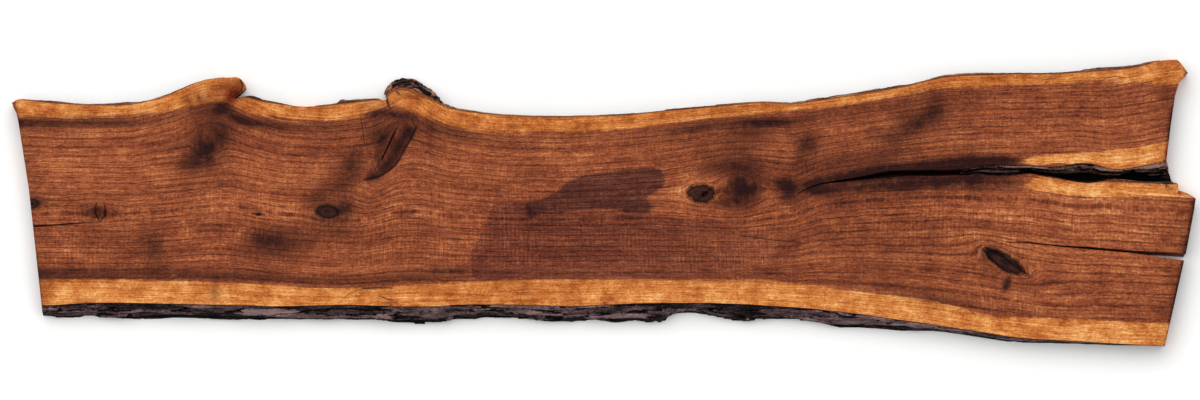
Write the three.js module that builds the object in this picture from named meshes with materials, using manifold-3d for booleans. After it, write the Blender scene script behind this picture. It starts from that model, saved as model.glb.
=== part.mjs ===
// A live-edge walnut slab, sawn from a forked log, lying on its wide sawn face.
// Millimetres, +Z up, +X along the grain, +Y to the back edge. The origin is under the slab's middle.
// The wood is one solid with its checks, knots and chip. The bark that still clings to it is a solid
// for each strip, because bark peels away strip by strip.
import * as THREE from 'three';
import { mergeVertices } from 'three/addons/utils/BufferGeometryUtils.js';
import Module from 'manifold-3d';

const wasm = await Module();
wasm.setup();

// Driving dimensions.
const thickness = 52; // a rough-sawn two-inch slab
const seat = 0.35; // clearance between bark and wood
// How far the live edges lean out from the top face to the underside, as [x, lean]: past the fork the
// front one turns upright and then leans in.
const frontFlare = [[-1200, 12], [540, 12], [720, 3], [950, -2], [1200, -9]];
const backFlare = 4;
const levels = 3; // layers of facets over the thickness, the same on wood and bark
const pointsPerSpan = 2; // outline points from one measured point to the next
const thinnestBark = 0.8;
const proud = 4; // cuts start this far outside the faces

const colours = { wood: 0x8a4b30, bark: 0x5d4a4c, inclusion: 0x2c2322 };

// Live edges along the top face, as [x, y, bark thickness]. The loop runs anticlockwise.
const frontEdge = [
  [-1155, -213, 4], [-1123, -212, 10], [-1062, -208, 15], [-983, -208, 17], [-925, -209, 17],
  [-839, -211, 16], [-731, -213, 15], [-680, -215, 12], [-622, -214, 14], [-521, -212, 17],
  [-422, -215, 19], [-347, -215, 23], [-325, -214, 22], [-306, -212, 18], [-265, -211, 19],
  [-250, -211, 14], [-224, -211, 15], [-137, -212, 19], [-65, -215, 17], [-21, -213, 19],
  [65, -209, 26], [120, -208, 29], [142, -208, 9], [160, -208, 3], [189, -208, 3],
  [218, -208, 11], [247, -209, 17], [300, -211, 23], [316, -212, 17], [392, -217, 13],
  [449, -222, 13], [493, -227, 16], [528, -231, 14], [594, -241, 8], [645, -248, 10],
  [664, -250, 6], [680, -253, 3], [738, -262, 3], [811, -274, 4], [854, -280, 4],
  [912, -284, 3], [985, -288, 3], [1064, -293, 2], [1154, -297, 1],
];
const backEdge = [
  [1184, 298, 0], [1149, 296, 1], [1130, 290, 6], [1106, 283, 8], [1056, 276, 9],
  [982, 271, 8], [932, 267, 7], [858, 267, 6], [784, 265, 7], [705, 261, 6],
  [635, 244, 7], [536, 226, 8], [437, 211, 7], [387, 204, 8], [330, 208, 7],
  [239, 200, 6], [140, 191, 6], [41, 182, 5], [-83, 178, 4], [-207, 181, 5],
  [-281, 189, 7], [-318, 196, 10], [-340, 205, 16], [-356, 213, 26], [-376, 222, 29],
  [-393, 229, 29], [-408, 233, 28], [-424, 233, 25], [-436, 229, 19], [-444, 220, 12],
  [-449, 214, 0], [-465, 213, 5], [-479, 212, 6], [-504, 209, 9], [-530, 206, 10],
  [-541, 205, 15], [-549, 204, 6], [-576, 202, 3], [-614, 200, 0], [-643, 202, 2],
  [-663, 204, 5], [-702, 210, 8], [-726, 216, 10], [-742, 218, 6], [-760, 218, 0],
  [-748, 229, 0], [-738, 240, 0], [-743, 252, 0], [-754, 261, 0], [-768, 261, 0],
  [-781, 260, 1], [-820, 255, 3], [-857, 242, 4], [-892, 226, 5], [-931, 213, 5],
  [-975, 204, 8], [-1031, 202, 5], [-1090, 204, 5], [-1148, 208, 6], [-1187, 213, 3],
  [-1206, 214, 2], [-1220, 208, 0],
];

// Sawn ends. The right one steps in where a corner of the middle lobe split off.
const rightEnd = [
  [1195, -120], [1199, -105], [1215, -23], [1220, 8], [1212, 15], [1199, 21], [1186, 25],
  [1185, 37], [1160, 87], [1171, 170], [1179, 223], [1188, 251], [1206, 270], [1192, 290],
];
const leftEnd = [[-1216, 198], [-1210, 186], [-1206, 169], [-1183, 27]];

// The opening of the fork between its two lips, as [x, lower y, upper y].
const fork = [
  [399, 17, 18], [420, 28, 31], [449, 38, 41], [482, 42, 47], [513, 45, 52], [553, 49, 60],
  [592, 52, 67], [631, 56, 68], [672, 55, 69], [711, 56, 69], [751, 57, 72], [769, 61, 75],
  [790, 57, 78], [817, 55, 79], [844, 56, 78], [877, 60, 79], [903, 56, 76], [939, 50, 76],
  [975, 42, 83], [1000, 40, 83], [1027, 44, 77], [1040, 47, 72], [1069, 46, 71],
  [1106, 41, 77], [1160, 38, 87], [1260, 30, 104],
];
const forkThroughX = 800; // from here on the fork is open to the underside
const forkTipDepth = 12;
const forkFloorShare = 0.5; // width at the underside, against the width at the top
const inclusion = {
  from: 700,
  lowerShare: 0.16, // of the gap that the bark on the middle lobe fills
  upperShare: 0.5,
  floor: 14,
  end: [[736, -20], [1183, 20], [1148, 120], [736, 120]],
};

// Drying checks as [x, lower y, upper y], with the depth that they reach down to.
const checks = [
  { name: 'endCheck', bottom: -5, lips: [
    [851, -80.5, -79.5], [895, -86, -84], [949, -92, -89.5], [1000, -97, -91.5], [1054, -101.5, -96.5],
    [1106, -107, -100.5], [1145, -113, -102], [1199, -121, -105], [1260, -130, -109],
  ] },
  { name: 'leftCheck', bottom: 12, lips: [
    [-1240, -60, -54], [-1175, -51.5, -48.5], [-1103, -45, -43], [-1051, -41.5, -40.5],
  ] },
];
const branchCheck = { from: [-424, 160], to: [-459, 84], width: 4, depth: 16 };

// Knots and the pocket of ingrown bark, as shallow bowls in the top face.
const hollows = [
  { x: 198, y: 21, long: 27, wide: 19, depth: 4, turn: -8 },
  { x: 209, y: 19, long: 8, wide: 6, depth: 12, turn: 30 },
  { x: -566, y: -20, long: 22, wide: 13, depth: 5, turn: -6 },
  { x: -1042, y: -20, long: 10, wide: 4, depth: 7, turn: 80 },
  { x: -1026, y: -24, long: 9, wide: 3, depth: 7, turn: 97 },
  { x: 812, y: -116, long: 27, wide: 14, depth: 9, turn: -30 },
  { x: 843, y: -134, long: 27, wide: 11, depth: 7, turn: -30 },
];
const chip = { x: 1184, y: 12, depth: 26 }; // the split corner falls away from this line

// Reads a table of [x, value, ...] rows at x, in straight lines from row to row.
function ramp(rows, x) {
  const next = Math.max(1, rows.findIndex((row) => row[0] >= x - 1e-3));
  const [a, b] = [rows[next - 1], rows[next]];
  const share = (x - a[0]) / (b[0] - a[0]);
  return a.slice(1).map((value, i) => THREE.MathUtils.lerp(value, b[i + 1], share));
}

// How far the side of the wood leans out of its outline at height z: most at the underside.
function flareAt(x, y, z) {
  const across = THREE.MathUtils.clamp((y + 205) / 380, 0, 1);
  const lean = THREE.MathUtils.lerp(-ramp(frontFlare, x)[0], backFlare, across);
  return lean * Math.cos((Math.PI / 2) * (z / thickness));
}

// Rounds a measured row of points off: more points of the same three numbers, on a smooth curve.
function smooth(points) {
  const curve = new THREE.CatmullRomCurve3(points.map((p) => new THREE.Vector3(...p)));
  return curve.getPoints(pointsPerSpan * (points.length - 1)).map((p) => p.toArray());
}

function weld(geometry) {
  geometry.deleteAttribute('normal');
  geometry.deleteAttribute('uv');
  return mergeVertices(geometry, 1e-4);
}

function toSolid(geometry) {
  const welded = weld(geometry);
  return new wasm.Manifold(new wasm.Mesh({
    numProp: 3,
    vertProperties: new Float32Array(welded.attributes.position.array),
    triVerts: new Uint32Array(welded.index.array),
  }));
}

function toGeometry(solid) {
  const mesh = solid.getMesh();
  const geometry = new THREE.BufferGeometry();
  geometry.setAttribute('position', new THREE.BufferAttribute(mesh.vertProperties, 3));
  geometry.setIndex(new THREE.BufferAttribute(mesh.triVerts, 1));
  geometry.computeVertexNormals();
  return geometry;
}

// Moves every vertex of a geometry to where place(x, y, z) says.
function reshape(geometry, place) {
  const position = geometry.attributes.position;
  for (let i = 0; i < position.count; i += 1) {
    const moved = place(position.getX(i), position.getY(i), position.getZ(i));
    position.setXYZ(i, ...moved);
  }
  return geometry;
}

function extrudeUp(points, height, steps = 1) {
  const shape = new THREE.Shape(points.map(([x, y]) => new THREE.Vector2(x, y)));
  return new THREE.ExtrudeGeometry(shape, { depth: height, steps, bevelEnabled: false });
}

// The middle and half width of an opening between two lips at x.
function gapAt(lips, x) {
  const [low, high] = ramp(lips, x);
  return { middle: (low + high) / 2, half: (high - low) / 2 };
}

// A narrow opening between two lips, cut from above the top face down to bottom(x).
// floorShare narrows it towards its floor.
function cleft(lips, bottom, floorShare) {
  const lower = lips.map(([x, low]) => [x, low]);
  const upper = lips.map(([x, , high]) => [x, high]).reverse();
  return toSolid(reshape(extrudeUp([...lower, ...upper], 1), (x, y, z) => {
    if (z > 0.5) return [x, y, thickness + proud];
    const { middle } = gapAt(lips, x);
    return [x, middle + (y - middle) * floorShare, bottom(x)];
  }));
}

function bowl({ x, y, long, wide, depth, turn }) {
  const ball = new THREE.SphereGeometry(1, 20, 10);
  ball.rotateX(Math.PI / 2);
  ball.scale(long, wide, depth);
  ball.rotateZ(THREE.MathUtils.degToRad(turn));
  ball.translate(x, y, thickness);
  return toSolid(ball);
}

function branchSlot({ from, to, width, depth }) {
  const [dx, dy] = [to[0] - from[0], to[1] - from[1]];
  const slot = new THREE.CylinderGeometry(1, 1, 2 * depth, 12);
  slot.rotateX(Math.PI / 2);
  slot.scale(Math.hypot(dx, dy) / 2, width / 2, 1);
  slot.rotateZ(Math.atan2(dy, dx));
  slot.translate((from[0] + to[0]) / 2, (from[1] + to[1]) / 2, thickness);
  return toSolid(slot);
}

// The corner that split off the middle lobe leaves a face that slopes down and away from the chip line.
function chipWedge() {
  const reach = 60;
  const wedge = new THREE.BoxGeometry(reach, reach, reach);
  wedge.translate(reach / 2, reach / 2, reach / 2);
  wedge.rotateX(-Math.atan2(chip.depth, 20));
  wedge.translate(chip.x, chip.y, thickness);
  return toSolid(wedge);
}

const front = smooth(frontEdge);
const back = smooth(backEdge);
const forkLips = smooth(fork);

// The fork's floor: it sinks from the tip until the fork is open to the underside.
function forkFloor(x) {
  const tip = fork[0][0];
  const open = THREE.MathUtils.clamp((x - tip) / (forkThroughX - tip), 0, 1);
  return THREE.MathUtils.lerp(thickness - forkTipDepth, -proud, open ** 0.7);
}

function makeWood() {
  const outline = [...front, ...rightEnd, ...back, ...leftEnd];
  const blank = extrudeUp(outline, thickness, levels);
  reshape(blank, (x, y, z) => [x, y + flareAt(x, y, z), z]);
  let wood = toSolid(blank);
  wood = wood.subtract(cleft(forkLips, forkFloor, forkFloorShare));
  for (const { lips, bottom } of checks) {
    wood = wood.subtract(cleft(smooth(lips), () => bottom, 0.8));
  }
  for (const hollow of hollows) wood = wood.subtract(bowl(hollow));
  return toGeometry(wood.subtract(branchSlot(branchCheck)).subtract(chipWedge()));
}

// The furrows and plates of walnut bark, as a share of its thickness.
function barkRelief(along, up) {
  const furrow = Math.sin(along / 31 + 2.2 * Math.sin(along / 87) + 1.7 * up);
  const plate = Math.sin(along / 12.7 + 5.1 * up + Math.sin(along / 23));
  return 1 + 0.14 * furrow + 0.1 * plate;
}

// A strip of bark on samples[first] to samples[last] of a live edge: a box bent along the edge, with one
// side on the wood and the other raised by the bark's thickness.
function barkStrip(samples, first, last) {
  const spans = last - first;
  const strip = new THREE.BoxGeometry(1, 1, 1, spans, 1, levels);
  return weld(reshape(strip, (u, v, w) => {
    const i = first + Math.round((u + 0.5) * spans);
    const height = w + 0.5;
    const z = height * thickness;
    const [x, y, bark] = samples[i];
    const [beforeX, beforeY] = samples[Math.max(i - 1, 0)];
    const [afterX, afterY] = samples[Math.min(i + 1, samples.length - 1)];
    const out = new THREE.Vector2(afterY - beforeY, beforeX - afterX).normalize();
    const section = 1 - 0.65 * height ** 3 - 0.25 * (1 - height) ** 4;
    const full = Math.max(bark * section * barkRelief(x, height), thinnestBark);
    const reach = v > 0 ? seat : seat + full;
    return [x + out.x * reach, y + flareAt(x, y, z) + out.y * reach, z];
  }));
}

// The stretches of an edge that still have bark, as [first, last] sample numbers.
function barkRuns(samples) {
  const runs = [];
  let first = -1;
  samples.forEach(([, , bark], i) => {
    const covered = bark > thinnestBark;
    if (covered && first < 0) first = i;
    if (first >= 0 && (!covered || i === samples.length - 1)) {
      const last = covered ? i : i - 1;
      if (last > first) runs.push([first, last]);
      first = -1;
    }
  });
  return runs;
}

// Bark grown into the fork: a trough that lines both lips and closes the gap between them. The gap
// itself trims its outside, and its end is sawn off with the wood's.
function makeInclusion() {
  const first = forkLips.findIndex(([x]) => x >= inclusion.from);
  const last = forkLips.findIndex(([x]) => x > 1200);
  const bottom = 3;
  const spare = 2; // outside the gap, to be trimmed
  const trough = reshape(new THREE.BoxGeometry(1, 1, 1, last - first, 8, 1), (u, v, w) => {
    const [x] = forkLips[first + Math.round((u + 0.5) * (last - first))];
    const lip = Math.abs(v) * 2; // 1 at either lip, 0 in the middle of the floor
    const rise = Math.max(lip * 2 - 1, 0);
    const rough = barkRelief(x, v);
    const low = w > 0 ? bottom + inclusion.floor * rough : bottom;
    const z = THREE.MathUtils.lerp(low, thickness - 1.5, rise);
    const { middle, half } = gapAt(forkLips, x);
    const height = (z + proud) / (thickness + 2 * proud);
    const wide = half * THREE.MathUtils.lerp(forkFloorShare, 1, height);
    const share = (v < 0 ? inclusion.lowerShare : inclusion.upperShare) * rough * (1 - 0.5 * rise);
    const lining = w > 0 ? 2 * wide * share : -spare;
    return [x, middle + Math.sign(v) * Math.min(lip * 2, 1) * (wide - lining), z];
  });
  const inner = forkLips.map(([x, low, high]) => [x, low + 1.4 * seat, high - 1.4 * seat]);
  const gap = cleft(inner, forkFloor, forkFloorShare);
  const end = toSolid(extrudeUp(inclusion.end, thickness));
  return toGeometry(toSolid(trough).intersect(gap).intersect(end));
}

const group = new THREE.Group();

function addPart(name, geometry, colour, roughness) {
  const material = new THREE.MeshStandardMaterial({ color: colour, roughness, metalness: 0 });
  const mesh = new THREE.Mesh(geometry, material);
  mesh.name = name;
  group.add(mesh);
}

addPart('wood', makeWood(), colours.wood, 0.55);
for (const [first, last] of barkRuns(front)) {
  addPart('bark_front', barkStrip(front, first, last), colours.bark, 0.95);
}
const backBarkNames = ['bark_back_right', 'bark_back_middle', 'bark_back_behind_spur', 'bark_back_left'];
barkRuns(back).forEach(([first, last], i) => {
  addPart(backBarkNames[i], barkStrip(back, first, last), colours.bark, 0.95);
});
addPart('bark_inclusion', makeInclusion(), colours.inclusion, 0.95);

const middle = new THREE.Box3().setFromObject(group).getCenter(new THREE.Vector3());
group.position.set(-middle.x, -middle.y, 0);

export default group;
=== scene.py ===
import math

import bmesh
import bpy
import numpy as np
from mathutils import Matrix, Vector, noise
from mathutils.bvhtree import BVHTree


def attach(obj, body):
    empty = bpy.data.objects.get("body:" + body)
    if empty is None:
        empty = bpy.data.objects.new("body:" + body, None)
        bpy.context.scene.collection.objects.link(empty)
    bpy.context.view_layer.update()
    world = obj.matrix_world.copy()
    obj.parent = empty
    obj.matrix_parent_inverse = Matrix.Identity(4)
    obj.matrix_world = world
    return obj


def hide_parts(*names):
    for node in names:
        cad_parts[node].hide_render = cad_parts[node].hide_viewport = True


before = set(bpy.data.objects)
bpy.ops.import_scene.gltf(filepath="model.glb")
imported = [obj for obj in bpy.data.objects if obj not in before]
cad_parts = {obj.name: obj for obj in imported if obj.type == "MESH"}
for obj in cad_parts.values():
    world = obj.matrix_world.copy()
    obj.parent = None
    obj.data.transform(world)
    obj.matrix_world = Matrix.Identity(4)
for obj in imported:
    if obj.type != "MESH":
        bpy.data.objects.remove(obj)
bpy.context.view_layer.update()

# Measures are in millimetres, in the slab's own frame, and turn to metres where a mesh is made.
mm = 0.001
thickness = 52

studio = {
    "aim": (-6.9, 3.6),  # the point of the top face in the middle of the picture
    "elevation": 82,
    "distance": 20000,
    "pictureWidth": 2471.0,
    "floor": "#fbfbfa",
    "sky": 0.7,
    # the softbox in watts and metres
    "softbox": 505,
    "softboxSize": 10,
    "softboxPlace": (-1.4, 2.4, 8),
}


def linear(hexColour):
    # sRGB hex to the linear numbers that lights and shaders take
    channels = [int(hexColour[i:i + 2], 16) / 255 for i in (1, 3, 5)]
    return [c / 12.92 if c <= 0.04045 else ((c + 0.055) / 1.055) ** 2.4 for c in channels] + [1]


def addNode(tree, kind, inputs=None, out=0, stops=None, **settings):
    # adds one node with its settings and links, and gives back the output that is used
    node = tree.nodes.new(kind)
    for name, value in settings.items():
        setattr(node, name, value)
    for key, value in (inputs or {}).items():
        if isinstance(value, bpy.types.NodeSocket):
            tree.links.new(value, node.inputs[key])
        else:
            node.inputs[key].default_value = value
    if stops:
        ramp = node.color_ramp
        ramp.elements[0].position, ramp.elements[1].position = stops[0][0], stops[-1][0]
        for position, _ in stops[1:-1]:
            ramp.elements.new(position)
        for element, (_, colour) in zip(ramp.elements, stops):
            element.color = linear(colour)
    return node.outputs[out] if len(node.outputs) else None


def newMaterial(name):
    material = bpy.data.materials.new(name)
    material.use_nodes = True
    material.node_tree.nodes.clear()
    return material, material.node_tree


# Studio: a pale floor, an even sky, one softbox and the camera
bpy.ops.mesh.primitive_plane_add(size=90)
floor = bpy.context.object
floor.name = "floor"
paper, tree = newMaterial("palePaper")
shade = addNode(tree, "ShaderNodeBsdfDiffuse", {"Color": linear(studio["floor"])})
addNode(tree, "ShaderNodeOutputMaterial", {"Surface": shade})
floor.data.materials.append(paper)

world = bpy.data.worlds.new("studioSky")
bpy.context.scene.world = world
world.use_nodes = True
world.node_tree.nodes["Background"].inputs["Color"].default_value = (1, 1, 1, 1)
world.node_tree.nodes["Background"].inputs["Strength"].default_value = studio["sky"]

softbox = bpy.data.lights.new("softbox", "AREA")
softbox.size = studio["softboxSize"]
softbox.energy = studio["softbox"]
softboxObject = bpy.data.objects.new("softbox", softbox)
softboxObject.location = studio["softboxPlace"]
softboxObject.rotation_euler = (-softboxObject.location).to_track_quat("-Z", "Y").to_euler()
bpy.context.scene.collection.objects.link(softboxObject)

camera = bpy.data.cameras.new("camera")
camera.sensor_width = 36
camera.lens = 36 * studio["distance"] / studio["pictureWidth"]
camera.clip_end = 200
cameraObject = bpy.data.objects.new("camera", camera)
tilt = math.radians(90 - studio["elevation"])
aim = Vector((*studio["aim"], thickness)) * mm
reach = studio["distance"] * mm
cameraObject.location = aim + Vector((0, -math.sin(tilt), math.cos(tilt))) * reach
cameraObject.rotation_euler = (tilt, 0, 0)
bpy.context.scene.collection.objects.link(cameraObject)
bpy.context.scene.camera = cameraObject
bpy.context.scene.view_settings.view_transform = "Standard"
print("studio ready")


def copyOfNode(name):
    # a CAD node as one welded mesh, its flat areas as single faces
    bm = bmesh.new()
    bm.from_mesh(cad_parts[name].data)
    bmesh.ops.remove_doubles(bm, verts=bm.verts, dist=1e-6)
    bmesh.ops.dissolve_limit(bm, angle_limit=math.radians(0.3), verts=bm.verts, edges=bm.edges)
    return bm


def sliceFaces(bm, faces, axis, step):
    # cuts the faces by planes a step apart, so that they can carry fine marks
    normal = Vector([i == axis for i in range(3)])
    ahead = list(faces)
    low = min(v.co[axis] for f in ahead for v in f.verts)
    high = max(v.co[axis] for f in ahead for v in f.verts)
    for place in np.arange(low + step, high - 0.3 * step, step):
        edges = list(dict.fromkeys(e for f in ahead for e in f.edges))
        verts = list(dict.fromkeys(v for f in ahead for v in f.verts))
        made = bmesh.ops.bisect_plane(bm, geom=ahead + edges + verts, dist=1e-7,
                                      plane_co=normal * place, plane_no=normal)
        ahead = [f for f in made["geom"] if isinstance(f, bmesh.types.BMFace)
                 and max(v.co[axis] for v in f.verts) > place + 1e-5]


def finishPiece(bm, name, node, material):
    mesh = bpy.data.meshes.new(name)
    bm.to_mesh(mesh)
    bm.free()
    piece = bpy.data.objects.new(name, mesh)
    bpy.context.scene.collection.objects.link(piece)
    mesh.materials.append(material)
    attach(piece, "root")
    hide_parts(node)
    return piece


def places(mesh):
    # the vertices' places in millimetres, as three rows
    flat = np.empty(len(mesh.vertices) * 3)
    mesh.vertices.foreach_get("co", flat)
    return flat.reshape(-1, 3).T / mm


def keepValues(mesh, name, values):
    mesh.attributes.new(name, "FLOAT", "POINT").data.foreach_set("value", values.astype(float))


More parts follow.
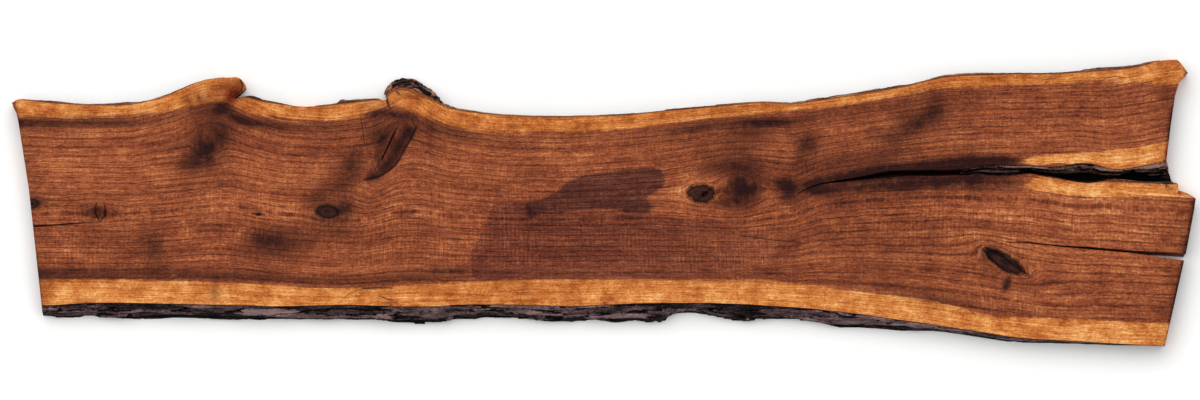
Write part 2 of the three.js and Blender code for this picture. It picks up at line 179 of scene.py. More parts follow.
# The wood's figure, read off as lines and spots
woodSlab = {
    "topStep": 5, "sideStep": 9, "undersideStep": 24,  # mesh spacing
    "sawPitch": 8.7, "ringPitch": 11,  # one saw mark, and one growth ring, to the next
    "grainWidth": 420,  # the slab's usual width, over which the rings are counted
    "arcCount": 62,  # how closely the arcs inside and round a knot follow each other
    # a tone of 0 is a wood's darkest colour and 1 its lightest; each mark adds this much to it
    "glowTone": 0.13, "poreTone": -0.4, "ringTone": -0.24, "sawTone": 0.085, "hatchTone": 0.7,
    "arcTone": 0.16,
    "baseTone": 0.565,
    # the sapwood's tone has more contrast round its middle, drops a little and gets more spots
    "sapMiddle": 0.52, "sapContrast": 1.15, "sapDrop": 0.24,
    "sapSpots": [("mottle", 0.34), ("cloud", 0.16)],
    # dark places: their strength, and their colours on heartwood and on sapwood
    "smudgeShare": 1.15, "sootShare": 0.25,
    "shadow": ("#5e4d5f", "#8a4636"), "soot": ("#211519", "#3a180c"),
    "crackColour": "#0f0706",
    # tone layers as (name, guide, length, width, depth, detail, share); real pores and fibres are
    # finer than the flecks, fuzz and grit, which are as coarse as they need to be to show
    "layers": [
        ("bands", "grain", 700, 28, 300, 2, 0.4),
        ("strands", "grain", 260, 3.4, 300, 3, 0.35),
        ("streaks", "grain", 60, 2.6, 300, 4, 0.8),
        ("flecks", "grain", 9, 2.2, 60, 2, 0.65),
        ("fuzz", "slab", 2.4, 26, 26, 3, 0.15),
        ("grit", "slab", 3, 3, 3, 1, 0.45),
        ("mottle", "slab", 45, 45, 45, 2, 0.4),
        ("cloud", "slab", 17, 17, 17, 4, 0.25),
    ],
    "heartwood": [
        (0.0, "#200e0c"), (0.22, "#492014"), (0.42, "#6f361f"), (0.55, "#864329"), (0.7, "#a05833"),
        (0.85, "#b87043"), (1.0, "#d4925f")],
    "sapwoodTones": [
        (0.0, "#4f230d"), (0.25, "#8a441a"), (0.42, "#a85a26"), (0.55, "#bb6b31"), (0.7, "#cf8342"),
        (0.85, "#e09d5c"), (1.0, "#efbe82")],
    # a knot's colours from its middle to its rim
    "knotTones": [
        (0.0, "#060304"), (0.1, "#0d0708"), (0.18, "#2b1514"), (0.3, "#3a1f1b"), (0.4, "#1d0e0e"),
        (0.5, "#0b0506")],
    # fine dry cracks as (half width, line), in groups whose lines lie well apart
    "cracks": {
        "crackOne": [
            (0.8, [(284, -71), (305, -73), (332, -77), (361, -81), (404, -84)]),
            (0.8, [(-91, -56), (-71, -56), (-46, -60)]),
            (0.6, [(-539, -204), (-521, -190), (-492, -180)]),
            (1.2, [(-492, -180), (-463, -179), (-438, -179)]),
            (1.3, [(-1179, -51), (-1123, -48), (-1074, -44)]),
            (1.4, [(837, -84), (879, -86), (941, -92), (1023, -97)]),
            (2.4, [(-482, 48), (-463, 52), (-442, 65), (-430, 75), (-420, 90), (-409, 111),
                   (-399, 127), (-389, 148)]),
            (1.9, [(786, -104), (808, -127), (827, -142)]),
            (1.6, [(-1045, -10), (-1047, -21), (-1041, -33)]),
            (2.0, [(202, 11), (210, 17), (218, 25)]),
            (1.4, [(-450, 214), (-446, 209), (-442, 200)]),
            (0.8, [(1036, 257), (1056, 261), (1073, 259)]), (0.7, [(912, 255), (932, 257)]),
            (0.7, [(416, 84), (420, 63)]), (0.7, [(-500, 175), (-496, 150), (-492, 121)]),
        ],
        "crackTwo": [
            (1.9, [(796, -100), (823, -114), (844, -131), (866, -146)]),
            (1.4, [(-1026, -12), (-1024, -23), (-1031, -35)]), (1.2, [(-717, -25), (-702, -27)]),
            (0.8, [(-453, 98), (-461, 86), (-468, 71)]),
            (1.0, [(-455, -198), (-444, -202), (-436, -204)]),
            (1.2, [(-444, 207), (-446, 219), (-440, 230), (-430, 233), (-424, 227)]),
            (1.3, [(-748, 252), (-744, 242), (-746, 232), (-758, 223)]),
            (0.7, [(1085, 265), (1102, 269)]),
            (0.7, [(953, 242), (978, 240)]), (0.7, [(435, 82), (431, 67)]),
        ],
    },
    # the sawn ends from front to back, where the wood is darker
    "endLeft": [(-1156, -221), (-1216, 213)],
    "endRight": [(1157, -298), (1194, -117), (1221, 15), (1163, 27), (1153, 50), (1174, 192),
                 (1203, 265)],
    # stains as (colour, where the fade to the right starts and ends)
    "stains": {"redStain": ("#cbc6dd", 100, 700), "darkStain": ("#a4a6cc", 400, 900),
               "spindleKnot": ("#bdb8c8", 2000, 3000)},
    "forkShade": (0.6, 14, 430, 880),  # strength, reach and where it starts and ends
    # live edges and fork lips, which the grain follows
    "frontEdge": [(-1220, -213), (-1062, -210), (-839, -213), (-680, -217), (-347, -217), (-137, -214),
                  (65, -211), (247, -211), (420, -221), (528, -233), (681, -254), (811, -276),
                  (912, -286), (1064, -295), (1220, -301)],
    "backEdge": [(-1220, 208), (-1090, 202), (-975, 203), (-892, 222), (-820, 245), (-770, 250),
                 (-720, 228), (-663, 208), (-570, 202), (-477, 212), (-430, 226), (-380, 222),
                 (-318, 196), (-207, 180), (-83, 176), (140, 189), (330, 206), (437, 209),
                 (635, 242), (705, 259), (932, 265), (1056, 273), (1149, 294), (1220, 300)],
    "forkLower": [(399, 17), (449, 36), (553, 47), (672, 53), (790, 55), (877, 58), (975, 42),
                  (1040, 45), (1106, 39), (1160, 36), (1230, 31)],
    "forkUpper": [(399, 17), (449, 41), (553, 58), (672, 67), (790, 76), (877, 77), (975, 81),
                  (1040, 70), (1106, 75), (1160, 85), (1230, 98)],
    "forkAt": 0.545,  # where the fork's tip lies between the front edge and the back one
    "pith": (0.457, 46),  # the heart of the log between the edges, and its height
    # knots as (place, half length, half width, turn in degrees, and 1 for a dark one or 0 for one
    # that only bends the grain, which flows round them all)
    "knots": [
        ((201, 17), 28, 18, -4, 1), ((-568, -20), 24, 14, 0, 1), ((-1039, -21), 20, 12, 0, 0),
        ((825, -124), 42, 16, -30, 1), ((-818, 125), 26, 22, 60, 0), ((-434, 115), 50, 15, 67, 0),
        ((274, 25), 40, 34, 0, 0), ((-709, -26), 7, 4, 0, 1), ((-1175, -4), 13, 10, 0, 1),
    ],
    # where the heartwood ends, at the front and at the back
    "frontSapwood": [(-1247, -162), (-979, -162), (-855, -165), (-669, -171), (-607, -179), (-484, -181),
                     (-422, -175), (-298, -167), (-112, -162), (74, -160), (321, -160), (383, -167),
                     (507, -185), (631, -200), (693, -210), (755, -227), (817, -240),
                     (1002, -244), (1168, -254), (1230, -256)],
    "backSapwood": [(-1247, 179), (-1123, 179), (-1020, 182), (-917, 188), (-855, 200), (-789, 209),
                    (-762, 198), (-731, 184), (-649, 171), (-566, 171), (-525, 173), (-504, 177),
                    (-484, 188), (-463, 194), (-422, 200), (-397, 190), (-360, 175), (-339, 167),
                    (-298, 154), (-267, 148), (-174, 146), (-91, 146), (32, 150), (115, 161),
                    (198, 173), (280, 182), (363, 184), (404, 190), (507, 202), (610, 223),
                    (672, 236), (817, 242), (941, 246), (1023, 252), (1126, 248), (1230, 240)],
    "backSoftness": 0.5,  # the back sapwood fades into the heartwood
    # how dark the heartwood turns beside the sapwood, as (x, strength)
    "frontRim": [(-1250, 0.6), (-834, 0.55), (-566, 0.4), (-339, 0.4), (-217, 0.12), (300, 0.08),
                 (507, 0.2), (670, 0.35), (817, 0.15), (940, 0.05), (1230, 0.05)],
    "backRim": [(-1250, 0.55), (-1000, 0.45), (-917, 0.2), (-834, 0.3), (-752, 0.6), (-566, 0.5),
                (-470, 0.25), (-339, 0.2), (-240, 0.3), (-91, 0.1), (74, 0.2), (198, 0.45),
                (404, 0.45), (528, 0.25), (817, 0.1), (1230, 0.0)],
    # sapwood along the fork's lips
    "forkSapwood": [
        [(854, 84), (879, 92), (941, 98), (1023, 104), (1085, 113), (1178, 127),
         (1178, 71), (1147, 75), (1064, 67), (1002, 67), (941, 82), (899, 75)],
        [(862, 31), (883, 44), (899, 52), (961, 44), (1023, 38), (1188, 38),
         (1250, 9), (1126, 11), (1023, 11), (941, 15)],
    ],
    # stains with a sharp edge
    "darkStain": [(-160, 2), (-133, 4), (-112, 13), (-91, 25), (-81, 36), (-60, 48),
                  (-40, 56), (-15, 59), (16, 63), (43, 67), (74, 71), (98, 73),
                  (117, 67), (129, 56), (125, 42), (119, 27), (98, 15), (88, 9),
                  (94, 0), (103, -10), (94, -25), (74, -29), (47, -25), (26, -16),
                  (-9, -16), (-40, -19), (-67, -21), (-91, -27), (-133, -29), (-153, -37),
                  (-160, -16)],
    "redStain": [(-160, 2), (-191, 6), (-211, 0), (-226, -4), (-234, -16), (-240, -42),
                 (-246, -58), (-257, -75), (-265, -89), (-273, -104), (-275, -121), (-273, -137),
                 (-267, -162), (74, -162), (404, -173), (404, -69), (198, -42), (94, -25),
                 (-9, -21), (-133, -29)],
    "spindleKnot": [(-484, 44), (-490, 52), (-479, 79), (-469, 109), (-461, 134), (-446, 159),
                    (-426, 171), (-401, 163), (-389, 150), (-399, 127), (-411, 109), (-422, 88),
                    (-430, 73), (-442, 63), (-463, 50)],
    # soft dark places as (place, half length, half width, turn in degrees, strength)
    "smudges": [
        ((-1173, -4), 16, 12, 0, 0.8), ((-1150, 0), 34, 6, 0, 0.35), ((-1041, -19), 30, 13, 0, 0.5),
        ((-1074, -8), 26, 8, -10, 0.25), ((-824, 102), 34, 38, 10, 0.8), ((-789, 134), 30, 24, 40, 0.5),
        ((-857, 75), 26, 20, 0, 0.45), ((-793, 186), 26, 12, 20, 0.35), ((-746, 169), 26, 7, -20, 0.4),
        ((-704, 161), 50, 7, -6, 0.25), ((-783, 161), 50, 20, 0, 0.25), ((-855, 207), 8, 14, 20, 0.5),
        ((-822, 211), 34, 20, 0, 0.4), ((-760, 223), 16, 20, 20, 0.35), ((-789, 238), 30, 10, 20, 0.3),
        ((-834, 217), 5, 14, 20, 0.4), ((-768, 217), 18, 10, 40, 0.55), ((-781, 198), 16, 8, 0, 0.4),
        ((-768, 230), 34, 22, 30, 0.22),
        ((-746, 240), 14, 22, 0, 0.25), ((-401, 221), 40, 6, -8, 0.45),
        ((-1123, 163), 110, 7, 0, 0.3), ((-958, 163), 80, 6, 2, 0.2), ((-1185, 173), 40, 5, 0, 0.2),
        ((-669, -85), 60, 30, 0, 0.65), ((-707, -75), 26, 20, 0, 0.35), ((-925, -100), 26, 34, 0, 0.45),
        ((-979, -89), 60, 30, 0, 0.16), ((-799, -187), 12, 26, 0, 0.5),
        ((-560, -25), 44, 26, 0, 0.6), ((-529, -12), 18, 20, -30, 0.5), ((-591, 6), 22, 14, 0, 0.35),
        ((-521, 71), 30, 36, -30, 0.65), ((-554, 29), 44, 20, 0, 0.4), ((-550, -62), 60, 14, 0, 0.3),
        ((-475, 50), 14, 8, 35, 0.7), ((-463, 140), 28, 26, 60, 0.7), ((-463, 184), 26, 8, 10, 0.6),
        ((-360, 109), 40, 30, 0, 0.12),
        ((-413, 177), 40, 10, -8, 0.5), ((-401, 146), 18, 14, 0, 0.6), ((-424, 109), 46, 10, 62, 0.7),
        ((-453, 71), 22, 9, 50, 0.5),
        ((-318, 148), 60, 14, -8, 0.35), ((-442, 205), 20, 10, 0, 0.4), ((-488, 200), 24, 8, 0, 0.3),
        ((280, 25), 34, 38, 0, 0.75), ((305, 25), 34, 26, 20, 0.4), ((251, -2), 34, 10, 0, 0.4),
        ((243, 71), 60, 12, 6, 0.45),
        ((315, 67), 40, 20, 0, 0.3), ((383, 27), 24, 22, 0, 0.95), ((377, 4), 24, 8, 0, 0.3),
        ((365, 40), 18, 12, 0, 0.5),
        ((420, 121), 28, 24, 0, 0.75), ((404, 77), 26, 24, 0, 0.35), ((338, 165), 56, 8, 0, 0.65),
        ((305, 144), 46, 18, 0, 0.5), ((270, 104), 60, 34, 0, 0.35), ((177, 148), 60, 8, 8, 0.4),
        ((429, 29), 20, 14, 0, 0.6), ((476, 77), 50, 24, 10, 0.3), ((559, 88), 60, 20, 8, 0.4),
        ((643, 163), 46, 26, 20, 0.7), ((689, 192), 28, 30, 0, 0.5), ((590, 129), 44, 24, 0, 0.35),
        ((445, 42), 30, 10, 10, 0.6), ((507, 52), 50, 11, 8, 0.6), ((590, 63), 60, 12, 6, 0.65),
        ((672, 75), 60, 14, 5, 0.65), ((755, 86), 50, 13, 0, 0.7), ((827, 86), 34, 10, 0, 0.75),
        ((755, 109), 50, 12, 0, 0.3), ((462, 23), 44, 11, 6, 0.75), ((548, 27), 50, 10, 6, 0.65),
        ((621, 31), 40, 12, 4, 0.85), ((693, 38), 36, 12, 0, 0.85), ((759, 42), 30, 13, 0, 0.7),
        ((827, 38), 36, 11, 0, 0.6), ((775, 25), 50, 9, 0, 0.3), ((507, 4), 70, 12, 0, 0.25),
        ((825, -125), 50, 24, -33, 0.35), ((829, -173), 8, 16, -20, 1.0),
        ((786, -112), 20, 14, 0, 0.3), ((177, -125), 24, 12, 0, 0.25), ((672, -204), 60, 10, -10, 0.3),
        ((610, -100), 110, 60, 0, 0.14), ((486, -69), 110, 40, 0, 0.14), ((-318, -142), 80, 6, 0, 0.5),
        ((-9, -2), 30, 8, 0, 0.3), ((74, -8), 26, 10, 0, 0.35), ((-139, -12), 20, 10, 0, 0.3),
        ((-356, 109), 8, 120, 0, 0.14), ((-157, -79), 6, 60, 0, 0.2), ((-157, -179), 14, 16, 0, 0.25),
        ((1178, -204), 14, 60, 12, 0.25), ((1192, -69), 10, 60, 6, 0.18), ((1163, 213), 12, 60, 6, 0.2),
        ((-1068, -208), 24, 5, 0, 0.35), ((-1148, -179), 14, 26, 0, 0.25),
    ],
    # lighter, more orange places, written the same way
    "glows": [
        ((-1103, 50), 70, 20, 0, 0.5), ((-1123, 129), 60, 60, 0, 0.2), ((-1062, 88), 140, 50, 0, 0.3),
        ((-804, -16), 60, 14, 0, 0.5), ((-752, 15), 120, 34, 0, 0.3), ((-938, 4), 100, 20, 0, 0.25),
        ((-498, 34), 24, 14, 30, 1.0), ((202, 44), 36, 9, 0, 1.5), ((154, 21), 20, 14, 0, 0.9),
        ((243, 44), 10, 16, 30, 0.6), ((823, -87), 60, 12, 0, 0.5), ((1023, 88), 170, 18, 4, 0.9),
        ((1044, 23), 170, 18, 0, 0.9), ((-434, 219), 9, 15, -20, 1.2), ((-783, 255), 34, 8, 10, 0.5),
        ((74, -187), 430, 22, 0, 0.6), ((972, -37), 190, 60, 0, 0.9), ((-690, 29), 60, 24, 0, 0.6),
        ((-9, -146), 260, 16, 0, 0.8), ((301, -104), 90, 40, 0, 0.6), ((-814, -100), 40, 30, 0, 0.4),
        ((-1041, 88), 120, 40, 0, 0.3), ((-566, -104), 50, 20, 0, 0.5), ((796, -21), 60, 30, 0, 0.4),
        ((-360, 36), 120, 60, 0, 0.35), ((-91, 109), 200, 50, 0, 0.1),
        ((-308, -69), 60, 60, 0, 0.4), ((-339, 88), 60, 40, 0, 0.2), ((-649, 67), 120, 50, 0, 0.2),
        ((123, 13), 50, 22, 10, 0.6), ((177, 56), 50, 14, 0, 0.4), ((105, -27), 60, 16, 0, 0.4),
        ((1064, -48), 160, 60, 0, 0.35), ((1023, -183), 140, 50, 0, 0.3), ((775, -27), 90, 50, 0, 0.3),
        ((879, -142), 60, 60, 0, 0.35), ((817, 129), 180, 40, 0, 0.15), ((1106, 192), 80, 60, 0, 0.3),
        ((198, -110), 160, 50, 0, 0.2), ((610, -121), 160, 60, 0, 0.2), ((74, 150), 200, 20, 0, 0.15),
    ],
    # zones where the saw left strong marks across the grain
    "sawZones": [
        ((-1123, -131), 160, 60, 0, 0.7), ((-174, -69), 120, 90, 0, 0.8), ((-339, -69), 120, 70, 0, 0.6),
        ((249, -125), 120, 60, 0, 0.9), ((672, -37), 180, 60, 0, 0.8), ((982, -37), 200, 60, 0, 0.5),
        ((32, -89), 200, 70, 0, 0.5), ((-731, -27), 160, 70, 0, 0.5), ((-484, -58), 120, 80, 0, 0.5),
        ((817, -235), 160, 30, 0, 0.7), ((-91, 150), 200, 60, 0, 0.3), ((879, 150), 200, 60, 0, 0.4),
    ],
}


def smoothLine(points, blur=60):
    # a measured line as a function of x, its corners rounded over blur millimetres
    xs = np.arange(-1500, 1502, 2)
    ys = np.interp(xs, *zip(*points))
    half = int(blur / 4)
    window = np.hanning(2 * half + 3)[1:-1]
    ys = np.convolve(np.pad(ys, half, "edge"), window / window.sum(), "valid")
    return lambda x: np.interp(x, xs, ys)


def ovalReach(x, y, place, halfLength, halfWidth, turn):
    # 0 in the middle of a turned oval and 1 on its rim
    across, up = x - place[0], y - place[1]
    c, s = math.cos(math.radians(turn)), math.sin(math.radians(turn))
    return np.hypot((across * c + up * s) / halfLength, (up * c - across * s) / halfWidth)


def insidePatch(x, y, outline):
    # distance to a closed outline, positive inside it
    inside = np.zeros(len(x), bool)
    nearest = np.full(len(x), 1e9)
    for (ax, ay), (bx, by) in zip(outline, outline[1:] + outline[:1]):
        along = np.clip(((x - ax) * (bx - ax) + (y - ay) * (by - ay)) /
                        ((bx - ax) ** 2 + (by - ay) ** 2), 0, 1)
        nearest = np.minimum(nearest, np.hypot(x - ax - along * (bx - ax), y - ay - along * (by - ay)))
        if ay != by:
            inside ^= ((ay > y) != (by > y)) & (x < (bx - ax) * (y - ay) / (by - ay) + ax)
    return np.where(inside, nearest, -nearest)


def nearestLine(x, y, lines):
    # the signed distance to the nearest line, in its half widths, and 1 beside it fading to 0 away
    nearest, signed = np.full(len(x), 1e9), np.full(len(x), 1e9)
    for width, line in lines:
        for (ax, ay), (bx, by) in zip(line, line[1:]):
            length = math.hypot(bx - ax, by - ay)
            along = np.clip(((x - ax) * (bx - ax) + (y - ay) * (by - ay)) / length ** 2, 0, 1)
            reach = np.hypot(x - ax - along * (bx - ax), y - ay - along * (by - ay)) / width
            side = ((x - ax) * (by - ay) - (y - ay) * (bx - ax)) / length / width
            closer = reach < nearest
            nearest, signed = np.where(closer, reach, nearest), np.where(closer, side, signed)
    return signed, np.clip(1.6 - nearest / 5, 0, 1)


def paintWood(mesh, s):
    # the figure as numbers on the vertices, which the material turns to colour
    x, y, z = places(mesh)
    front, back = smoothLine(s["frontEdge"])(x), smoothLine(s["backEdge"])(x)
    lower, upper = smoothLine(s["forkLower"], 20)(x), smoothLine(s["forkUpper"], 20)(x)
    beforeFork = x < s["forkLower"][0][0]
    tip = front + s["forkAt"] * (back - front)
    lower, upper = np.where(beforeFork, tip, lower), np.where(beforeFork, tip, upper)
    below = s["forkAt"] * (y - front) / (lower - front)
    above = s["forkAt"] + (1 - s["forkAt"]) * (y - upper) / (back - upper)
    grain = np.where(y < (lower + upper) / 2, below, above) * s["grainWidth"]
    reachAll = []
    for place, halfLength, halfWidth, turn, isDark in s["knots"]:
        reach = ovalReach(x, y, place, halfLength, halfWidth, turn)
        grain -= (y - place[1]) * np.minimum(1, 1 / np.maximum(reach, 1e-3) ** 2)
        reachAll.append(reach if isDark else reach + 9)
    pith, pithHeight = s["pith"]
    ring = np.hypot(grain - pith * s["grainWidth"], z - pithHeight)
    keepValues(mesh, "ringPhase", 2 * math.pi * (ring / s["ringPitch"] + 0.9 * np.sin(ring / 37)
                                                 + 0.35 * np.sin(ring / 17 + 1)))
    flow = mesh.attributes.new("flow", "FLOAT_VECTOR", "POINT")
    flow.data.foreach_set("vector", np.stack((x, ring, y), axis=1).ravel())
    keepValues(mesh, "knot", np.min(reachAll, axis=0))
    frontSap = smoothLine(s["frontSapwood"], 30)(x) - y
    backSap = y - smoothLine(s["backSapwood"], 20)(x)
    sapwood = [insidePatch(x, y, outline) for outline in s["forkSapwood"]]
    keepValues(mesh, "sapwood", np.max([frontSap, backSap * s["backSoftness"]] + sapwood, axis=0))
    rim = np.interp(x, *zip(*s["frontRim"])) * np.exp(-((frontSap + 15) / 13) ** 2)
    rim += np.interp(x, *zip(*s["backRim"])) * np.exp(-((backSap + 17) / 12) ** 2)
    keepValues(mesh, "rim", rim)
    toEnd = np.full(len(x), 1e3)
    for end in (s["endLeft"], s["endRight"]):
        endX, endY = zip(*end)
        toEnd = np.minimum(toEnd, np.abs(x - np.interp(y, endY, endX)))
    keepValues(mesh, "end", 0.8 * np.exp(-(toEnd / 4) ** 2) + 0.2 * np.exp(-toEnd / 18))
    for name, lines in s["cracks"].items():
        crack, near = nearestLine(x, y, lines)
        keepValues(mesh, name, crack)
        keepValues(mesh, name + "Near", near)
    keepValues(mesh, "sawPhase", (x + y * y / 17000 + 9 * np.sin(x / 310 + y / 140)) * 2 * math.pi
               / s["sawPitch"])
    for name, (_, fadeStart, fadeEnd) in s["stains"].items():
        fade = 4 - 7 * (x - fadeStart) / (fadeEnd - fadeStart)
        keepValues(mesh, name, np.minimum(insidePatch(x, y, s[name]), fade))
    strength, reach, start, end = s["forkShade"]
    fromFork = np.maximum(0, np.maximum(lower - y, y - upper))
    along = np.clip((x - start) / 120, 0, 1) * np.clip((end - x) / 60, 0, 1)
    extra = {"smudges": strength * np.exp(-(fromFork / reach) ** 2) * along,
             "glows": -0.5 * np.clip((backSap + 12) / 12, 0, 1), "sawZones": 0.25}
    for name in ("smudges", "glows", "sawZones"):
        total = sum(spot[4] * np.exp(-ovalReach(x, y, *spot[:4]) ** 2) for spot in s[name])
        keepValues(mesh, name, total + extra.get(name, 0))


def walnutWood(s):
    # rough-sawn black walnut with an oiled look: brown heartwood, honey sapwood, matt
    material, tree = newMaterial("roughSawnWalnut")
    spot = {name: addNode(tree, "ShaderNodeAttribute", attribute_name=name, out="Fac")
            for name in ("knot", "sapwood", "rim", "smudges", "glows", "sawZones", "sawPhase",
                         "ringPhase", "end", *s["stains"], *s["cracks"],
                         *(name + "Near" for name in s["cracks"]))}
    flow = addNode(tree, "ShaderNodeAttribute", attribute_name="flow", out="Vector")
    place = addNode(tree, "ShaderNodeVectorMath", {0: addNode(tree, "ShaderNodeTexCoord", out="Object"),
                                                   "Scale": 1 / mm}, operation="SCALE")

    # streaks that follow the grain, and marks that follow the slab, make one tone around 0.5
    tone = s["baseTone"] - sum(layer[-1] for layer in s["layers"]) / 2
    layers = {}
    for name, guide, along, across, deep, detail, share in s["layers"]:
        vector = addNode(tree, "ShaderNodeMapping", {
            "Vector": flow if guide == "grain" else place, "Location": (len(layers) * 7.3, 0, 0),
            "Scale": (1 / along, 1 / across, 1 / deep)})
        layers[name] = addNode(tree, "ShaderNodeTexNoise", {"Vector": vector, "Scale": 1.0,
                                                            "Detail": detail, "Roughness": 0.6})
        tone = addNode(tree, "ShaderNodeMath", {0: layers[name], 1: share, 2: tone},
                       operation="MULTIPLY_ADD")

    # the sapwood's own tone, with more spots in it and dark pores
    middle = s["sapMiddle"] - s["sapContrast"] / 2
    sapTone = addNode(tree, "ShaderNodeMath", {0: tone, 1: s["sapContrast"], 2: middle},
                      operation="MULTIPLY_ADD")
    sapTone = addNode(tree, "ShaderNodeMath", {0: spot["glows"], 1: s["glowTone"], 2: sapTone},
                      operation="MULTIPLY_ADD")
    for name, share in s["sapSpots"]:
        sapTone = addNode(tree, "ShaderNodeMath", {0: layers[name], 1: share, 2: sapTone},
                          operation="MULTIPLY_ADD")
    sapTone = addNode(tree, "ShaderNodeMath", {0: sapTone, 1: s["sapDrop"]}, operation="SUBTRACT")
    pores = addNode(tree, "ShaderNodeMapRange", {0: layers["flecks"], 1: 0.62, 2: 0.8})
    sapTone = addNode(tree, "ShaderNodeMath", {0: pores, 1: s["poreTone"], 2: sapTone},
                      operation="MULTIPLY_ADD")

    # growth rings: thin dark lines that come and go in the heartwood
    ringWave = addNode(tree, "ShaderNodeMath", {0: layers["cloud"], 1: 3.0, 2: spot["ringPhase"]},
                       operation="MULTIPLY_ADD")
    ringWave = addNode(tree, "ShaderNodeMath", {0: ringWave}, operation="SINE")
    ringLine = addNode(tree, "ShaderNodeMapRange", {
        0: ringWave, 1: 0.5, 2: 1.0, 3: 0.0, 4: s["ringTone"]})
    ringShare = addNode(tree, "ShaderNodeMapRange", {0: layers["strands"], 1: 0.36, 2: 0.56})
    tone = addNode(tree, "ShaderNodeMath", {0: ringLine, 1: ringShare, 2: tone},
                   operation="MULTIPLY_ADD")

    # saw marks across the slab, and a fine hatch beside them, come and go
    sawPatch = addNode(tree, "ShaderNodeMath", {0: layers["mottle"], 1: 3.2, 2: -1.1},
                       operation="MULTIPLY_ADD", use_clamp=True)
    sawShare = addNode(tree, "ShaderNodeMath", {0: sawPatch, 1: spot["sawZones"]}, operation="MULTIPLY")
    saw = addNode(tree, "ShaderNodeMath", {0: spot["sawPhase"]}, operation="SINE")
    saw = addNode(tree, "ShaderNodeMapRange", {0: saw, 1: 0.0, 2: 1.0, 3: 0.3, 4: -1.0})
    sawMarks = addNode(tree, "ShaderNodeMath", {0: saw, 1: sawShare}, operation="MULTIPLY")
    tone = addNode(tree, "ShaderNodeMath", {0: sawMarks, 1: s["sawTone"], 2: tone},
                   operation="MULTIPLY_ADD")
    hatch = addNode(tree, "ShaderNodeMath", {0: layers["fuzz"], 1: 0.5}, operation="SUBTRACT")
    hatch = addNode(tree, "ShaderNodeMath", {0: hatch, 1: sawShare}, operation="MULTIPLY")
    tone = addNode(tree, "ShaderNodeMath", {0: hatch, 1: s["hatchTone"], 2: tone},
                   operation="MULTIPLY_ADD")
    tone = addNode(tree, "ShaderNodeMath", {0: spot["glows"], 1: s["glowTone"], 2: tone},
                   operation="MULTIPLY_ADD")

    # rings round a knot, which fade away from it
    knotReach = addNode(tree, "ShaderNodeMath", {0: layers["cloud"], 1: 0.9, 2: spot["knot"]},
                        operation="MULTIPLY_ADD")
    knotReach = addNode(tree, "ShaderNodeMapRange", {0: knotReach, 1: 0.45, 2: 2.45})
    knotArcs = addNode(tree, "ShaderNodeMath", {0: knotReach, 1: s["arcCount"]}, operation="MULTIPLY")
    knotArcs = addNode(tree, "ShaderNodeMath", {0: knotArcs}, operation="SINE")
    arcShare = addNode(tree, "ShaderNodeMapRange", {
        0: knotReach, 1: 0.5, 2: 0.95, 3: s["arcTone"], 4: 0.0})
    tone = addNode(tree, "ShaderNodeMath", {0: knotArcs, 1: arcShare, 2: tone},
                   operation="MULTIPLY_ADD")
    heart = addNode(tree, "ShaderNodeValToRGB", {0: tone}, stops=s["heartwood"])
    sap = addNode(tree, "ShaderNodeValToRGB", {0: sapTone}, stops=s["sapwoodTones"])

    # the line between heartwood and sapwood, frayed along the grain
    frayed = addNode(tree, "ShaderNodeMath", {0: layers["strands"], 1: 14, 2: -9.5},
                     operation="MULTIPLY_ADD")
    frayed = addNode(tree, "ShaderNodeMath", {0: layers["cloud"], 1: 5, 2: frayed},
                     operation="MULTIPLY_ADD")
    isSap = addNode(tree, "ShaderNodeMath", {0: spot["sapwood"], 1: frayed}, operation="ADD")
    isSap = addNode(tree, "ShaderNodeMapRange", {0: isSap, 1: -2.5, 2: 2.5},
                    interpolation_type="SMOOTHSTEP")
    wood = addNode(tree, "ShaderNodeMix", {0: isSap, 6: heart, 7: sap}, out=2, data_type="RGBA")

    # soft dark places, and the dark heartwood beside the sapwood
    patchy = addNode(tree, "ShaderNodeMath", {0: layers["cloud"], 1: 1.5, 2: -0.45},
                     operation="MULTIPLY_ADD")
    patchy = addNode(tree, "ShaderNodeMath", {0: layers["streaks"], 1: 1.4, 2: patchy},
                     operation="MULTIPLY_ADD")
    dark = addNode(tree, "ShaderNodeMath", {0: spot["smudges"], 1: s["smudgeShare"], 2: spot["rim"]},
                   operation="MULTIPLY_ADD")
    dark = addNode(tree, "ShaderNodeMath", {0: dark, 1: patchy, 2: spot["end"]},
                   operation="MULTIPLY_ADD", use_clamp=True)
    shadow, soot = (addNode(tree, "ShaderNodeMix", {0: isSap, 6: linear(onHeart), 7: linear(onSap)},
                            out=2, data_type="RGBA") for onHeart, onSap in (s["shadow"], s["soot"]))
    wood = addNode(tree, "ShaderNodeMix", {0: dark, 6: wood, 7: shadow}, out=2, data_type="RGBA",
                   blend_type="MULTIPLY")
    sootShare = addNode(tree, "ShaderNodeMath", {0: dark, 1: s["sootShare"]}, operation="MULTIPLY")
    wood = addNode(tree, "ShaderNodeMix", {0: sootShare, 6: wood, 7: soot}, out=2, data_type="RGBA")
    for name, (colour, _, _) in s["stains"].items():
        edge = addNode(tree, "ShaderNodeMath", {0: spot[name], 1: frayed}, operation="ADD")
        edge = addNode(tree, "ShaderNodeMapRange", {0: edge, 1: -3.0, 2: 4.0},
                       interpolation_type="SMOOTHSTEP")
        wood = addNode(tree, "ShaderNodeMix", {0: edge, 6: wood, 7: linear(colour)}, out=2,
                       data_type="RGBA", blend_type="MULTIPLY")

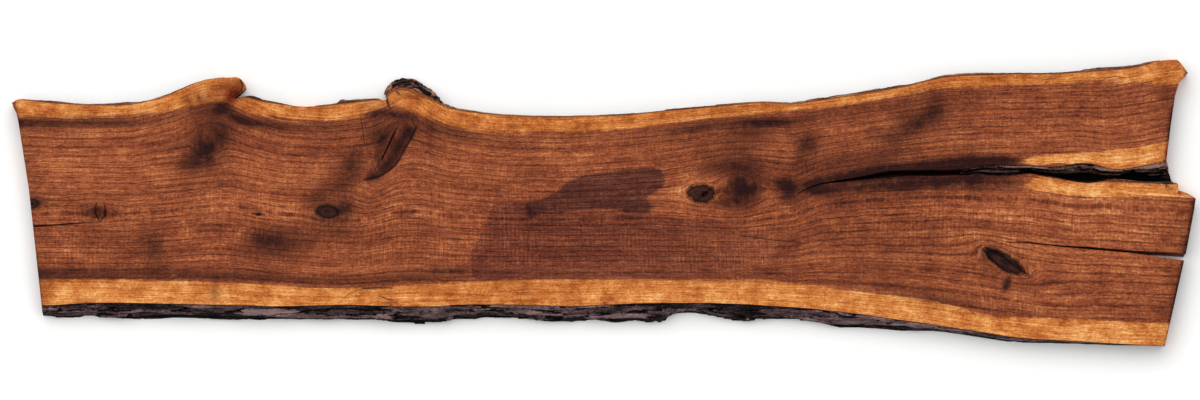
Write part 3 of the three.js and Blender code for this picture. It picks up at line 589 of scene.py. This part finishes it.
    # knots: a black rim, a brown body with arcs in it, and a black heart
    knotTone = addNode(tree, "ShaderNodeMath", {0: knotArcs, 1: 0.06, 2: knotReach},
                       operation="MULTIPLY_ADD")
    knotColour = addNode(tree, "ShaderNodeValToRGB", {0: knotTone}, stops=s["knotTones"])
    knotShare = addNode(tree, "ShaderNodeMapRange", {0: knotReach, 1: 0.62, 2: 0.46, 3: 0.0, 4: 0.94})
    wood = addNode(tree, "ShaderNodeMix", {0: knotShare, 6: wood, 7: knotColour}, out=2,
                   data_type="RGBA")

    # cracks as fine dark lines
    for name in s["cracks"]:
        crackEdge = addNode(tree, "ShaderNodeMath", {0: spot[name]}, operation="ABSOLUTE")
        crackEdge = addNode(tree, "ShaderNodeMapRange", {0: crackEdge, 1: 0.5, 2: 1.8, 3: 0.85, 4: 0.0})
        crackEdge = addNode(tree, "ShaderNodeMath", {0: crackEdge, 1: spot[name + "Near"]},
                            operation="MULTIPLY")
        wood = addNode(tree, "ShaderNodeMix", {0: crackEdge, 6: wood, 7: linear(s["crackColour"])},
                       out=2, data_type="RGBA")

    height = addNode(tree, "ShaderNodeMath", {0: sawMarks, 1: 0.12, 2: tone},
                     operation="MULTIPLY_ADD")
    bump = addNode(tree, "ShaderNodeBump", {"Strength": 0.6, "Distance": 0.0006, "Height": height},
                   out="Normal")
    skin = addNode(tree, "ShaderNodeBsdfPrincipled", {
        "Base Color": wood, "Roughness": 0.6, "Specular IOR Level": 0.06, "Normal": bump})
    addNode(tree, "ShaderNodeOutputMaterial", {"Surface": skin})
    return material


def makeWood(s):
    bm = copyOfNode("wood")
    top = thickness * mm
    for axis in (0, 1):
        faces = [f for f in bm.faces if f.normal.z > 0.99 and min(v.co.z for v in f.verts) > top - 1e-5]
        sliceFaces(bm, faces, axis, s["topStep"] * mm)
    for axis in (0, 1):
        faces = [f for f in bm.faces if f.normal.z < -0.99 and max(v.co.z for v in f.verts) < 1e-5]
        sliceFaces(bm, faces, axis, s["undersideStep"] * mm)
    for axis in (0, 1, 2):
        faces = [f for f in bm.faces if abs(f.normal.z) < 0.9]
        sliceFaces(bm, faces, axis, s["sideStep"] * mm)
    bmesh.ops.triangulate(bm, faces=[f for f in bm.faces if len(f.verts) > 4])
    piece = finishPiece(bm, "walnutSlab", "wood", walnutWood(s))
    paintWood(piece.data, s)
    return piece


slab = makeWood(woodSlab)
print("wood", len(slab.data.polygons), "faces")

# Bark: long plates with black furrows between them, on the five strips and in the fork; the furrows'
# black is partly their own dark and partly painted shade, and painted shade also darkens a low hollow
# and the lower side
barkStrips = {
    "step": 3.5,  # mesh spacing
    "noiseSeed": 7,  # any number but 0, which would give other plates each run
    "gapWidth": 0.12,  # a furrow's width, as a share of a plate
    "plate": (170, 14, 17),  # a bark plate's length along the slab, depth and height
    "furrow": 3.6, "lift": 2.2, "grit": 0.8,  # depth of a furrow, rise of a plate, and roughness
    # the hollow is sunk a little and painted dark as the shade in it
    "recess": (14, 11),  # height of the dark hollow low down on the bark, and its half width
    # the burl's middle, its reach, the spacing of its curls, and how much thicker its inner bark is
    "burl": ((-397, 205), 66, 11, 2.6),
    "pieces": {  # CAD node: piece, material slot, finish and seed
        "bark_front": ("frontBark", "bark", "dryWalnutBark", 3.7),
        "bark_back_right": ("backRightBark", "bark", "brownBark", 21.4),
        "bark_back_middle": ("backMiddleBark", "bark", "brownBark", 35.1),
        "bark_back_behind_spur": ("spurBark", "bark", "brownBark", 48.9),
        "bark_back_left": ("backLeftBark", "bark", "brownBark", 57.2),
        "bark_inclusion": ("forkBark", "bark_inclusion", "ingrownBark", 66.6),
    },
    # the heights between which painted shade darkens the bark downwards, on the front bark's lower side
    # and in the fork's gap, and how much of its tone is left there
    "shade": {"frontBark": (8, 46, 0.5), "forkBark": (12, 30, 0.0)},
    # a finish as (colour of its inner bark, how far that shows from the wood, colours of its plates)
    "finishes": {
        "dryWalnutBark": ("#0a0606", 2.6, [
            (0.0, "#030202"), (0.25, "#140d0d"), (0.45, "#392a2b"), (0.65, "#5a4546"),
            (1.0, "#8a7071")]),
        "brownBark": ("#8a4d26", 3.6, [
            (0.0, "#080504"), (0.25, "#1f1311"), (0.45, "#442e2b"), (0.65, "#6d4a40"),
            (1.0, "#b57d5c")]),
        "ingrownBark": ("#0a0606", 2.0, [
            (0.0, "#020101"), (0.3, "#150e0d"), (0.5, "#3a2825"), (0.7, "#634641"),
            (1.0, "#8e6f64")]),
    },
}


def furrowBark(bm, s, name, seed, woodTree):
    # sinks furrows between the plates, lifts each plate by its own share, and keeps both as numbers; the
    # furrows' number also carries painted shade in the low hollow and toward the bottom
    shadeLow, shadeHigh, shadeLeft = s["shade"].get(name, (0, 1, 1))
    openAndLitLayer = bm.verts.layers.float.new("openAndLit")
    plateLayer = bm.verts.layers.float.new("plate")
    depthLayer = bm.verts.layers.float.new("depth")
    (burlX, burlY), burlReach, burlPitch, burlInner = s["burl"]
    bm.normal_update()
    shifts = []
    for vert in bm.verts:
        p = vert.co / mm
        q = Vector((p.x / s["plate"][0] + seed, p.y / s["plate"][1], p.z / s["plate"][2]))
        q += noise.noise_vector(q * 2.3) * 0.3
        distances, centres = noise.voronoi(q)
        gap = min(1, (distances[1] - distances[0]) / s["gapWidth"])
        plate = noise.cell(centres[0] * 9.3)
        # painted shade: a band low on the bark is sunk and darkened as a shaded hollow
        hollow = 0.7 + noise.noise(Vector((p.x / 70, seed, 0))) * 1.3
        hollow -= abs(p.z - s["recess"][0]) / s["recess"][1]
        openAndLit = gap * (1 - 0.9 * max(0, min(1, hollow)))
        fromBurl = math.hypot(p.x - burlX, p.y - burlY)
        depth = woodTree.find_nearest(vert.co)[3] / mm
        inner = depth
        if fromBurl < burlReach:
            curl = math.sin(fromBurl * 2 * math.pi / burlPitch + 7 * noise.noise(p / 22))
            openAndLit = min(1, max(0, 0.62 + 0.5 * curl))
            inner = depth / burlInner
        # painted shade: the colour darkens lower down the bark and in the fork's gap
        light = max(0, min(1, (p.z - shadeLow) / (shadeHigh - shadeLow)))
        grit = noise.fractal(Vector((p.x / 9, p.y / 4, p.z / 4)), 0.6, 2.0, 3)
        free = max(0, min(1, (depth - 0.8) / 7))
        lift = -s["furrow"] * (1 - openAndLit) ** 2 + s["lift"] * (plate - 0.7) + s["grit"] * grit
        shifts.append(vert.normal * lift * free * mm)
        vert[openAndLitLayer] = openAndLit * (shadeLeft + (1 - shadeLeft) * light)
        vert[plateLayer], vert[depthLayer] = plate, inner
    for vert, shift in zip(bm.verts, shifts):
        vert.co += shift
        vert.co.z = max(0, min(thickness * mm, vert.co.z))


def barkFinish(name, innerColour, innerReach, tones):
    # rough, matt walnut bark: dull grey-brown plates, near black furrows, partly their own dark and
    # partly painted shade, and its inner bark's colour along the wood; real crumbs are finer, and these
    # are as coarse as they need to be to show
    material, tree = newMaterial(name)
    spot = {key: addNode(tree, "ShaderNodeAttribute", attribute_name=key, out="Fac")
            for key in ("openAndLit", "plate", "depth")}
    place = addNode(tree, "ShaderNodeVectorMath", {0: addNode(tree, "ShaderNodeTexCoord", out="Object"),
                                                   "Scale": 1 / mm}, operation="SCALE")
    fibres = addNode(tree, "ShaderNodeMapping", {"Vector": place, "Scale": (1 / 24, 1 / 4, 1 / 4)})
    fibres = addNode(tree, "ShaderNodeTexNoise", {"Vector": fibres, "Scale": 1.0, "Detail": 5,
                                                  "Roughness": 0.7})
    crumbs = addNode(tree, "ShaderNodeTexNoise", {"Vector": place, "Scale": 1 / 5, "Detail": 4})
    patches = addNode(tree, "ShaderNodeMapping", {"Vector": place, "Scale": (1 / 55, 1 / 16, 1 / 16)})
    patches = addNode(tree, "ShaderNodeTexNoise", {"Vector": patches, "Scale": 1.0, "Detail": 2})
    tone = addNode(tree, "ShaderNodeMath", {0: fibres, 1: 1.1, 2: -0.82}, operation="MULTIPLY_ADD")
    tone = addNode(tree, "ShaderNodeMath", {0: patches, 1: 0.95, 2: tone}, operation="MULTIPLY_ADD")
    tone = addNode(tree, "ShaderNodeMath", {0: crumbs, 1: 0.7, 2: tone}, operation="MULTIPLY_ADD")
    tone = addNode(tree, "ShaderNodeMath", {0: spot["plate"], 1: 0.3, 2: tone},
                   operation="MULTIPLY_ADD")
    openAndLit = addNode(tree, "ShaderNodeMath", {0: crumbs, 1: 0.5, 2: -0.25},
                       operation="MULTIPLY_ADD")
    openAndLit = addNode(tree, "ShaderNodeMath", {0: spot["openAndLit"], 1: openAndLit}, operation="ADD")
    openAndLit = addNode(tree, "ShaderNodeMapRange", {0: openAndLit, 1: 0.2, 2: 0.7})
    # painted shade: the tone falls toward black in the furrows, in the low hollow and on the shaded
    # lower side
    tone = addNode(tree, "ShaderNodeMath", {0: tone, 1: openAndLit}, operation="MULTIPLY")
    colour = addNode(tree, "ShaderNodeValToRGB", {0: tone}, stops=tones)
    inner = addNode(tree, "ShaderNodeMath", {0: crumbs, 1: 2.4, 2: spot["depth"]},
                    operation="MULTIPLY_ADD")
    inner = addNode(tree, "ShaderNodeMapRange", {0: inner, 1: 1.2 + innerReach, 2: 1.8, 3: 0.0, 4: 0.9})
    colour = addNode(tree, "ShaderNodeMix", {0: inner, 6: colour, 7: linear(innerColour)}, out=2,
                     data_type="RGBA")
    bump = addNode(tree, "ShaderNodeBump", {"Strength": 0.8, "Distance": 0.0015, "Height": crumbs},
                   out="Normal")
    skin = addNode(tree, "ShaderNodeBsdfPrincipled", {
        "Base Color": colour, "Roughness": 0.85, "Specular IOR Level": 0.08, "Normal": bump})
    addNode(tree, "ShaderNodeOutputMaterial", {"Surface": skin})
    return material


def makeBark(s, woodTree):
    noise.seed_set(s["noiseSeed"])
    finishes = {name: barkFinish(name, *finish) for name, finish in s["finishes"].items()}
    for node, (name, slot, finish, seed) in s["pieces"].items():
        bm = copyOfNode(node)
        for axis in (0, 1, 2):
            sliceFaces(bm, bm.faces, axis, s["step"] * mm)
        bmesh.ops.triangulate(bm, faces=[f for f in bm.faces if len(f.verts) > 4])
        furrowBark(bm, s, name, seed, woodTree)
        piece = finishPiece(bm, name, node, finishes[finish])
        print(name, len(piece.data.polygons), "faces")


woodCopy = copyOfNode("wood")
bmesh.ops.triangulate(woodCopy, faces=woodCopy.faces)
makeBark(barkStrips, BVHTree.FromBMesh(woodCopy))
woodCopy.free()
